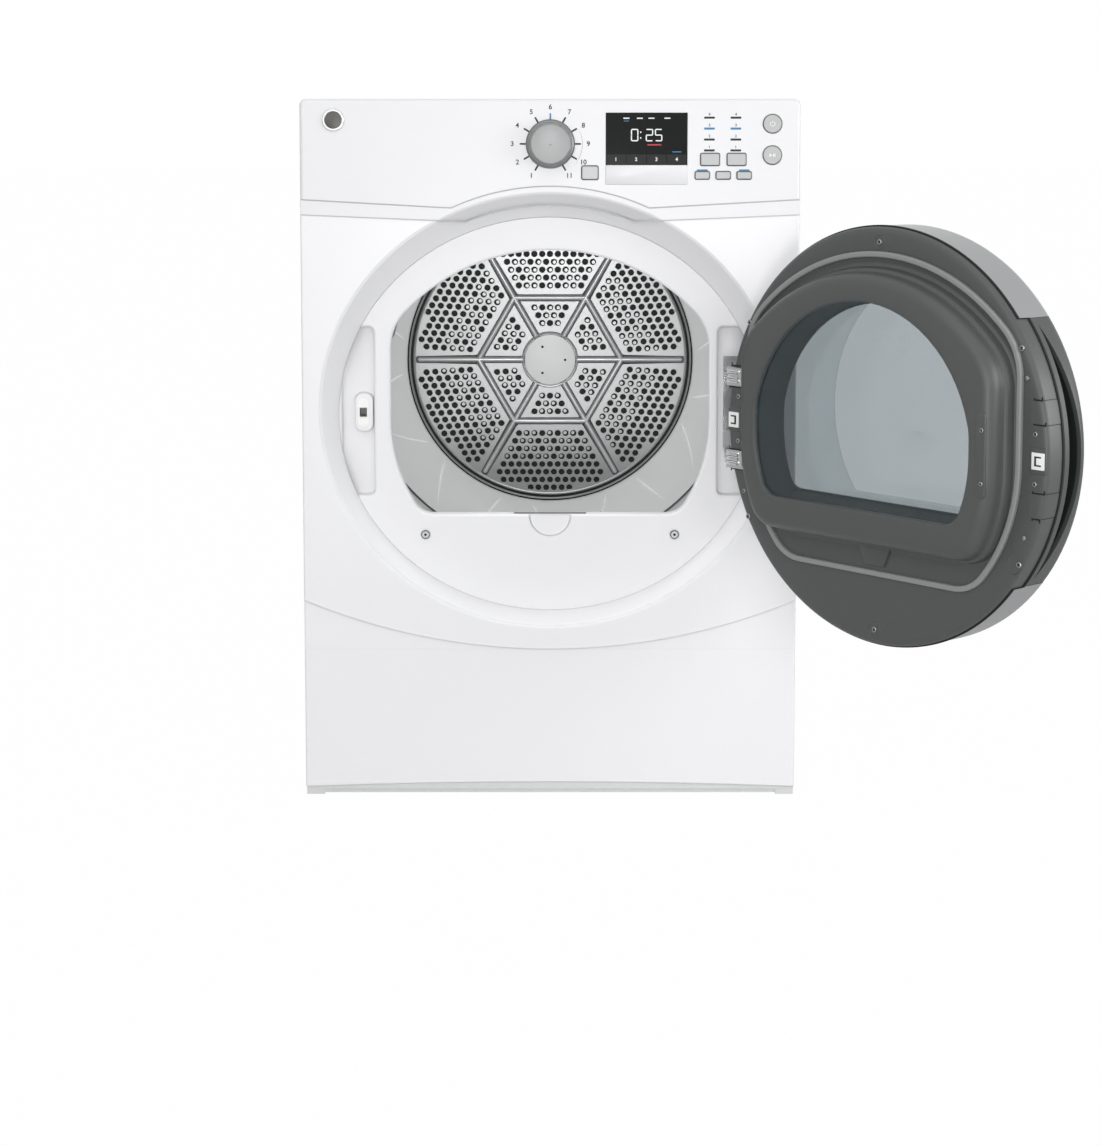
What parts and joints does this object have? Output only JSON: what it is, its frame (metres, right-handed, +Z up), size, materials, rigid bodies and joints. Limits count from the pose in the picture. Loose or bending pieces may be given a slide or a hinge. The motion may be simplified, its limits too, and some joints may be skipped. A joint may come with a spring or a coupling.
{
  "type": "clothes dryer",
  "caption": "Front-loading clothes dryer with a white steel cabinet, an oval door recess, a round side-hinged door with a window, a steel drum, and a control panel with a knob and keys.",
  "frame": {"origin": "on the floor, under the middle of the cabinet's width and depth", "axes": "+X to the right as seen from the front, +Y from the front to the back, +Z up"},
  "size_m": [1.0293, 1.2522, 1.01],
  "materials": {
    "enamel_white": "gloss white enamel",
    "moulded_white": "gloss white moulded plastic",
    "bulkhead_white": "satin white plastic",
    "galvanised": "zinc-plated steel",
    "drum_steel": "rolled stainless steel",
    "dark_plastic": "satin dark grey moulded plastic",
    "silver_ring": "satin silver paint",
    "door_glass": "clear tinted glass",
    "dark_glass": "dark glass",
    "display_black": "gloss black",
    "satin_silver": "turned, satin",
    "key_silver": "satin silver plastic",
    "seal_rubber": "soft light grey rubber",
    "felt": "wool felt",
    "black_rubber": "rubber",
    "chromed": "bright chromed steel",
    "steel": "bright steel",
    "board_green": "glass-fibre board",
    "white_plastic": "white moulded plastic",
    "grey_plastic": "grey moulded plastic",
    "coil_wire": "oxidised resistance wire",
    "blower_plastic": "black moulded plastic",
    "black_steel": "black enamelled steel"
  },
  "bodies": {
    "cabinet": {"base_pan": "galvanised", "left_side_panel": "enamel_white", "right_side_panel": "enamel_white", "rear_panel": "galvanised", "top_panel": "enamel_white", "front_panel": "enamel_white", "front_trim_band": "moulded_white", "control_fascia": "moulded_white", "display_lens": "display_black", "control_board": "board_green", "badge_disc": "satin_silver", "front_bulkhead": "bulkhead_white", "latch_plate": "white_plastic", "latch_catch": "blower_plastic", "hinge_bracket": "chromed", "drum_front_seal": "felt", "rear_bearing": "white_plastic", "heater_housing": "galvanised", "heating_coil": "coil_wire", "motor_housing": "black_steel", "motor_bracket": "galvanised", "blower_housing": "white_plastic", "lint_duct": "white_plastic", "exhaust_duct": "galvanised", "drive_belt": "black_rubber", "terminal_cover": "galvanised", "cabinet_screws": "steel"},
    "door": {"door_outer_frame": "silver_ring", "door_outer_glass": "dark_glass", "door_liner": "dark_plastic", "door_inner_glass": "door_glass", "door_seal": "seal_rubber", "door_handle": "dark_plastic", "door_hinge_leaves": "chromed", "hinge_covers": "dark_plastic", "door_strikes": "white_plastic", "door_screws": "steel"},
    "drum": {"drum_shell": "galvanised", "drum_back": "drum_steel", "drum_baffles": "grey_plastic", "drum_hub_shaft": "steel"},
    "motor_rotor": {"motor_shaft": "steel", "motor_pulley": "steel", "blower_wheel": "blower_plastic"},
    "idler_arm": {"idler_arm": "galvanised"},
    "idler_pulley": {"idler_pulley": "white_plastic"},
    "lint_filter": {"lint_filter": "grey_plastic"},
    "cycle_knob": {"cycle_knob": "satin_silver"},
    "power_button": {"power_button": "key_silver"},
    "start_button": {"start_button": "key_silver"},
    "temperature_button": {"temperature_button": "key_silver"},
    "level_button": {"level_button": "key_silver"},
    "option_button_left": {"option_button_left": "key_silver"},
    "option_button_middle": {"option_button_middle": "key_silver"},
    "option_button_right": {"option_button_right": "key_silver"},
    "add_time_button": {"add_time_button": "key_silver"},
    "foot_front_left": {"foot_front_left": "black_rubber"},
    "foot_front_right": {"foot_front_right": "black_rubber"},
    "foot_rear_left": {"foot_rear_left": "black_rubber"},
    "foot_rear_right": {"foot_rear_right": "black_rubber"}
  },
  "joints": [
    {"name": "door_hinge", "type": "hinge", "parent": "cabinet", "child": "door", "pos_m": [0.2842, -0.3911, 0.5623], "axis": [0, 0, 1], "range_deg": [-130.8, 0]},
    {"name": "drum_spin", "type": "hinge", "parent": "cabinet", "child": "drum", "pos_m": [0, 0.34, 0.5655], "axis": [0, 1, 0], "continuous": true},
    {"name": "motor_spin", "type": "hinge", "parent": "cabinet", "child": "motor_rotor", "pos_m": [-0.13, 0, 0.15], "axis": [0, 1, 0], "continuous": true},
    {"name": "idler_swing", "type": "hinge", "parent": "cabinet", "child": "idler_arm", "pos_m": [-0.045, 0.088, 0.095], "axis": [0, 1, 0], "range_deg": [0, 8], "stiffness_Nm_per_rad": 0.5, "springref_deg": -17.19},
    {"name": "idler_spin", "type": "hinge", "parent": "idler_arm", "child": "idler_pulley", "pos_m": [0.0039, 0.072, 0.1725], "axis": [0, 1, 0], "continuous": true},
    {"name": "filter_lift", "type": "slide", "parent": "cabinet", "child": "lint_filter", "axis": [0, 0, 1], "range_m": [0, 0.26]},
    {"name": "knob_turn", "type": "hinge", "parent": "cabinet", "child": "cycle_knob", "pos_m": [0.0005, -0.38, 0.9465], "axis": [0, 1, 0], "continuous": true},
    {"name": "power_press", "type": "slide", "parent": "cabinet", "child": "power_button", "axis": [0, 1, 0], "range_m": [0, 0.0012], "stiffness_N_per_m": 300, "springref_m": -0.0005},
    {"name": "start_press", "type": "slide", "parent": "cabinet", "child": "start_button", "axis": [0, 1, 0], "range_m": [0, 0.0012], "stiffness_N_per_m": 300, "springref_m": -0.0005},
    {"name": "temperature_press", "type": "slide", "parent": "cabinet", "child": "temperature_button", "axis": [0, 1, 0], "range_m": [0, 0.0012], "stiffness_N_per_m": 300, "springref_m": -0.0005},
    {"name": "level_press", "type": "slide", "parent": "cabinet", "child": "level_button", "axis": [0, 1, 0], "range_m": [0, 0.0012], "stiffness_N_per_m": 300, "springref_m": -0.0005},
    {"name": "option_press_left", "type": "slide", "parent": "cabinet", "child": "option_button_left", "axis": [0, 1, 0], "range_m": [0, 0.0012], "stiffness_N_per_m": 300, "springref_m": -0.0005},
    {"name": "option_press_middle", "type": "slide", "parent": "cabinet", "child": "option_button_middle", "axis": [0, 1, 0], "range_m": [0, 0.0012], "stiffness_N_per_m": 300, "springref_m": -0.0005},
    {"name": "option_press_right", "type": "slide", "parent": "cabinet", "child": "option_button_right", "axis": [0, 1, 0], "range_m": [0, 0.0012], "stiffness_N_per_m": 300, "springref_m": -0.0005},
    {"name": "add_time_press", "type": "slide", "parent": "cabinet", "child": "add_time_button", "axis": [0, 1, 0], "range_m": [0, 0.0012], "stiffness_N_per_m": 300, "springref_m": -0.0005},
    {"name": "foot_turn_front_left", "type": "hinge", "parent": "cabinet", "child": "foot_front_left", "pos_m": [-0.33, -0.333, 0.02], "axis": [0, 0, 1], "continuous": true},
    {"name": "foot_turn_front_right", "type": "hinge", "parent": "cabinet", "child": "foot_front_right", "pos_m": [0.33, -0.333, 0.02], "axis": [0, 0, 1], "continuous": true},
    {"name": "foot_turn_rear_left", "type": "hinge", "parent": "cabinet", "child": "foot_rear_left", "pos_m": [-0.33, 0.333, 0.02], "axis": [0, 0, 1], "continuous": true},
    {"name": "foot_turn_rear_right", "type": "hinge", "parent": "cabinet", "child": "foot_rear_right", "pos_m": [0.33, 0.333, 0.02], "axis": [0, 0, 1], "continuous": true}
  ],
  "couplings": [
    {"joint": "motor_spin", "follows": "drum_spin", "ratio": 25},
    {"joint": "idler_spin", "follows": "drum_spin", "ratio": -13.542}
  ]
}
